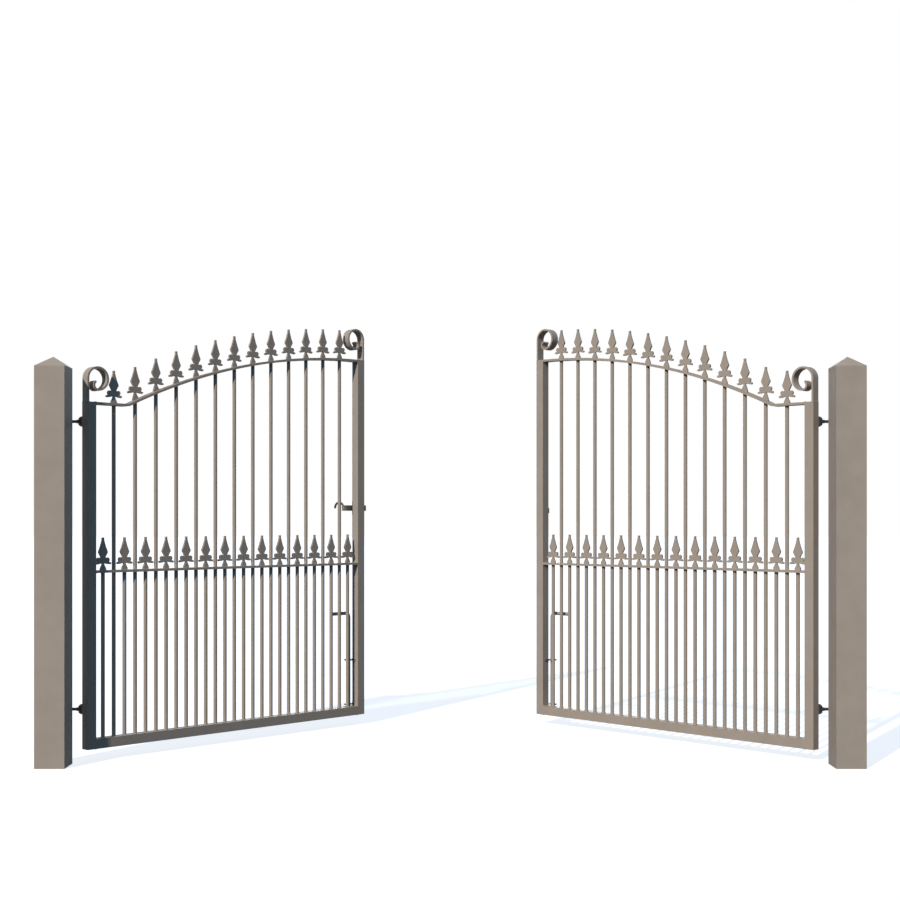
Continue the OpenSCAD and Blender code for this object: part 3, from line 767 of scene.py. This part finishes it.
# %% [markdown]
# The upper guide of each drop bolt takes the knocks of the swinging leaf, so a small gusset stiffens it: a
# flat web, as thick as the guide, in the corner between the guide and the inner side of the meeting
# stile. It is cut from sheet with a hollow front edge, so a polygon with an arc is drawn, raised to its
# thickness and given a narrow bevel. A fine bead on its top and underside joins it to the stile.

# %% Gussets on the drop bolts' upper guides
GUSSET_OUT_MM = 19
GUSSET_DEEP_MM = 32
GUSSET_SINK_MM = 0.5
GUSSET_EDGE_MM = 0.6
GUSSET_ARC_STEPS = 10


def gusset_outline(inner, rear):
    out, deep, sink = GUSSET_OUT_MM * MM, GUSSET_DEEP_MM * MM, GUSSET_SINK_MM * MM
    turns = [math.pi / 2 * i / GUSSET_ARC_STEPS for i in range(GUSSET_ARC_STEPS + 1)]
    hollow = [(inner - out * (1 - math.sin(a)), rear - deep * (1 - math.cos(a))) for a in turns]
    return [(inner + sink, rear + sink), (inner - out, rear + sink)] + hollow + [(inner + sink, rear - deep)]


def gusset(side):
    stile, guide = (on_leaf(side, f"{side}_{n}") for n in ("meeting_stile", "upper_bolt_guide"))
    inner, rear = stile[:, 0].min(), stile[:, 1].max()
    low, high = guide[:, 2].min(), guide[:, 2].max()
    corners = [to_row(side, x, y, low) for x, y in gusset_outline(inner, rear)]
    mesh = cut_plate(f"{side}_guide_gusset", corners, Vector((0, 0, high - low)), GUSSET_EDGE_MM * MM)
    mesh.materials.append(coat)
    piece = bpy.data.objects.new(f"{side}_guide_gusset", mesh)
    bpy.context.collection.objects.link(piece)
    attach(piece, f"{side}_leaf")
    print(piece.name, "has", len(mesh.polygons), "faces")
    front = rear - (GUSSET_DEEP_MM - RIM_MM) * MM
    return [[to_row(side, inner, y, z) for y in (front, rear - RIM_MM * MM)] for z in (low, high)]


for side in LEAVES:
    grow(f"{side}_gusset_welds", seam_mesh("seams", gusset(side)), weld_bead, FINE_BEAD,
         f"{side}_leaf", "taupe_powder_coat")

# %% [markdown]
# The stage is plain: a pale floor that keeps the shadows, a key light from the front left, low and
# fairly small like an afternoon sun, a softer back light straight from behind, so that the rear of the
# gates shows its colour too, and a cool even fill from the world, like open sky. Rays from the camera
# see the world and the floor as white, so that the gates stand on a clean background.

# %% Floor
FLOOR_HALF = 60
FLOOR_DROP_MM = 1
FLOOR_GLOW = 0.74
FLOOR_SHADE = 0.42
FLOOR_BOUNCE = 0.05


def seen_ray(tree):
    path = add_node(tree, "ShaderNodeLightPath").outputs
    either = add_node(tree, "ShaderNodeMath", {
        0: path["Is Camera Ray"], 1: path["Is Glossy Ray"]}, operation="MAXIMUM")
    return add_node(tree, "ShaderNodeMath", {
        0: either.outputs[0], 1: path["Is Transmission Ray"]}, operation="MAXIMUM").outputs[0]


def floor_material():
    material, tree = new_material("pale_studio_floor")
    bounce = add_node(tree, "ShaderNodeBsdfDiffuse", {"Color": [FLOOR_BOUNCE] * 3 + [1]})
    shade = add_node(tree, "ShaderNodeBsdfDiffuse", {"Color": [FLOOR_SHADE] * 3 + [1]})
    glow = add_node(tree, "ShaderNodeEmission", {"Strength": FLOOR_GLOW})
    shown = add_node(tree, "ShaderNodeAddShader", {0: shade.outputs["BSDF"], 1: glow.outputs["Emission"]})
    both = add_node(tree, "ShaderNodeMixShader", {
        0: seen_ray(tree), 1: bounce.outputs["BSDF"], 2: shown.outputs["Shader"]})
    add_node(tree, "ShaderNodeOutputMaterial", {"Surface": both.outputs["Shader"]})
    return material


floor_mesh = bpy.data.meshes.new("studio_floor")
corners = [(-1, -1), (1, -1), (1, 1), (-1, 1)]
floor_points = [(x * FLOOR_HALF, y * FLOOR_HALF, -FLOOR_DROP_MM * MM) for x, y in corners]
floor_mesh.from_pydata(floor_points, [], [(0, 1, 2, 3)])
floor = bpy.data.objects.new("studio_floor", floor_mesh)
floor.data.materials.append(floor_material())
bpy.context.collection.objects.link(floor)
print("floor is", 2 * FLOOR_HALF, "m wide")

# %% [markdown]
# A lamp is placed by where it stands: its azimuth is counted from the front, to the left, and its elevation
# from the ground. Its width sets how soft its shadows are.

# %% Key light, back light and fill
KEY_AZIMUTH = 30
KEY_ELEVATION = 32
KEY_STRENGTH = 3.55
KEY_WIDTH = 1.5
BACK_AZIMUTH = 180
BACK_ELEVATION = 10
BACK_STRENGTH = 1.9
BACK_WIDTH = 5
FILL_COLOUR = "#6290BB"
FILL_STRENGTH = 1.0


def sun(name, azimuth, elevation, strength, width):
    data = bpy.data.lights.new(name, "SUN")
    data.energy = strength
    data.angle = math.radians(width)
    lamp = bpy.data.objects.new(name, data)
    bpy.context.collection.objects.link(lamp)
    turn, lift = math.radians(azimuth), math.radians(elevation)
    towards = Vector((-math.sin(turn) * math.cos(lift), -math.cos(turn) * math.cos(lift), math.sin(lift)))
    lamp.rotation_euler = towards.to_track_quat("Z", "Y").to_euler()
    print(name, "shines towards", [round(-c, 2) for c in towards])


sun("key_light", KEY_AZIMUTH, KEY_ELEVATION, KEY_STRENGTH, KEY_WIDTH)
sun("back_light", BACK_AZIMUTH, BACK_ELEVATION, BACK_STRENGTH, BACK_WIDTH)

world = bpy.data.worlds.new("studio_fill")
bpy.context.scene.world = world
world.use_nodes = True
sky = world.node_tree
sky.nodes.clear()
fill = add_node(sky, "ShaderNodeBackground", {"Color": linear(FILL_COLOUR), "Strength": FILL_STRENGTH})
white = add_node(sky, "ShaderNodeBackground", {"Color": [1, 1, 1, 1], "Strength": 1.0})
mixed = add_node(sky, "ShaderNodeMixShader", {
    0: seen_ray(sky), 1: fill.outputs["Background"], 2: white.outputs["Background"]})
add_node(sky, "ShaderNodeOutputWorld", {"Surface": mixed.outputs["Shader"]})
print("fill colour", FILL_COLOUR)

# %% [markdown]
# The camera stands level on the middle line of the gates, a little below eye height. It is not tilted:
# the picture shows more below the horizon than above, which a shift of the lens gives without making
# the posts lean. The numbers follow from the picture's own lines, where both leaves stand at 45 degrees.

# %% Camera
PICTURE_PX = 900
HORIZON_PX = 515.5
MIDDLE_PX = 450.4
CAMERA_DISTANCE = 5.5765
CAMERA_HEIGHT = 0.983
LENS_MM = 56.914
SENSOR_MM = 36

camera_data = bpy.data.cameras.new("camera")
camera_data.lens = LENS_MM
camera_data.sensor_width = SENSOR_MM
camera_data.shift_x = (PICTURE_PX / 2 - MIDDLE_PX) / PICTURE_PX
camera_data.shift_y = (HORIZON_PX - PICTURE_PX / 2) / PICTURE_PX
camera = bpy.data.objects.new("camera", camera_data)
middle_x = (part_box("left_post")[0][0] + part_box("right_post")[1][0]) / 2
camera.location = (middle_x, -CAMERA_DISTANCE, CAMERA_HEIGHT)
camera.rotation_euler = (math.pi / 2, 0, 0)
bpy.context.collection.objects.link(camera)
bpy.context.scene.camera = camera
bpy.context.scene.view_settings.view_transform = "Standard"
print("camera at", [round(c, 3) for c in camera.location])
